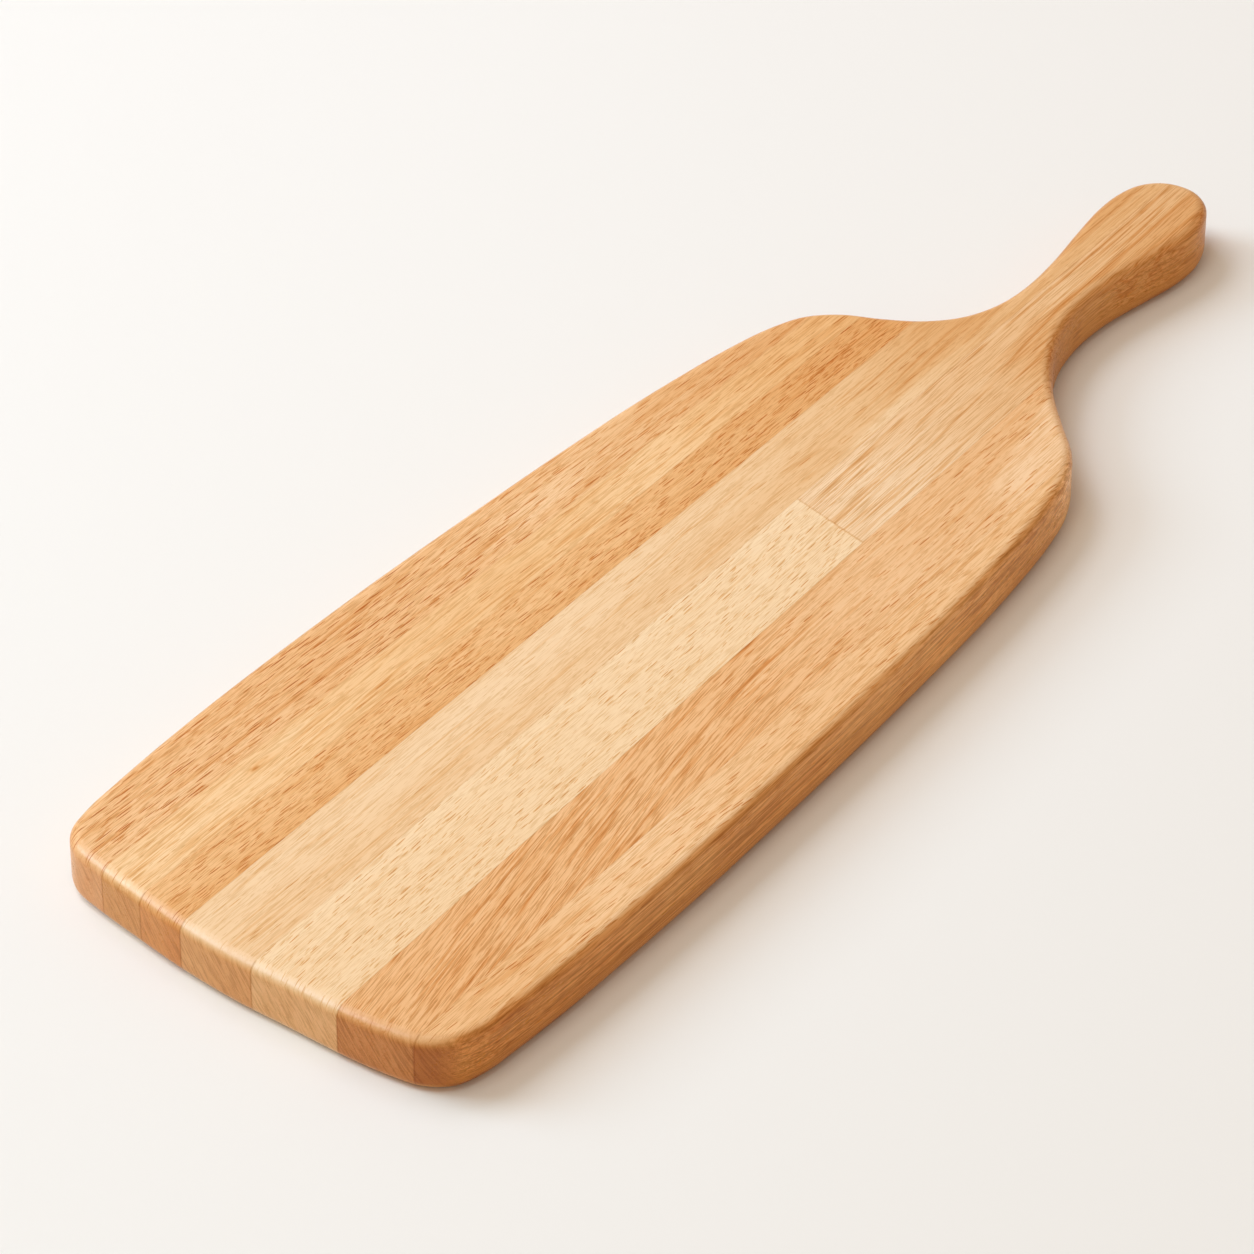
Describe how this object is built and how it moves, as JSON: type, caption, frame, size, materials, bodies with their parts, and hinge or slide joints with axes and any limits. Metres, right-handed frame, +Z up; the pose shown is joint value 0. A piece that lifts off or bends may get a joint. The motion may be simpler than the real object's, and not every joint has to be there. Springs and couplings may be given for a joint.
{
  "type": "paddle serving board",
  "caption": "Flat edge-glued hardwood serving board with rounded edges, round shoulders, a slim neck and a rounded paddle handle, for cutting bread or serving food",
  "frame": {"origin": "on the surface the board lies on, under the middle of its outline's bounding box", "axes": "+X along the board toward the handle, +Y across the board, +Z up out of the serving face"},
  "size_m": [0.4801, 0.1602, 0.0205],
  "materials": {
    "stave_1": "oiled beech, satin, mid tan with dark ray flecks",
    "stave_2": "oiled beech, satin, light tan, fine straight grain",
    "stave_3": "oiled beech, satin, darker orange tan with ray flecks",
    "stave_4": "oiled beech, satin, light, fine straight grain",
    "stave_5_front": "oiled beech, satin, pale cream with small flecks",
    "stave_5_handle": "oiled beech, satin, light with straight orange grain",
    "stave_6": "oiled beech, satin, reddish tan with oblique grain",
    "stave_7": "oiled beech, satin, light tan with flecks",
    "glue": "cured wood glue, thin amber line"
  },
  "bodies": {
    "root": {"stave_1": "stave_1", "stave_2": "stave_2", "stave_3": "stave_3", "stave_4": "stave_4", "stave_5_front": "stave_5_front", "stave_5_handle": "stave_5_handle", "stave_6": "stave_6", "stave_7": "stave_7", "glue_line_1_2": "glue", "glue_line_2_3": "glue", "glue_line_3_4": "glue", "glue_line_4_5": "glue", "glue_line_5_6": "glue", "glue_line_6_7": "glue"}
  },
  "joints": []
}
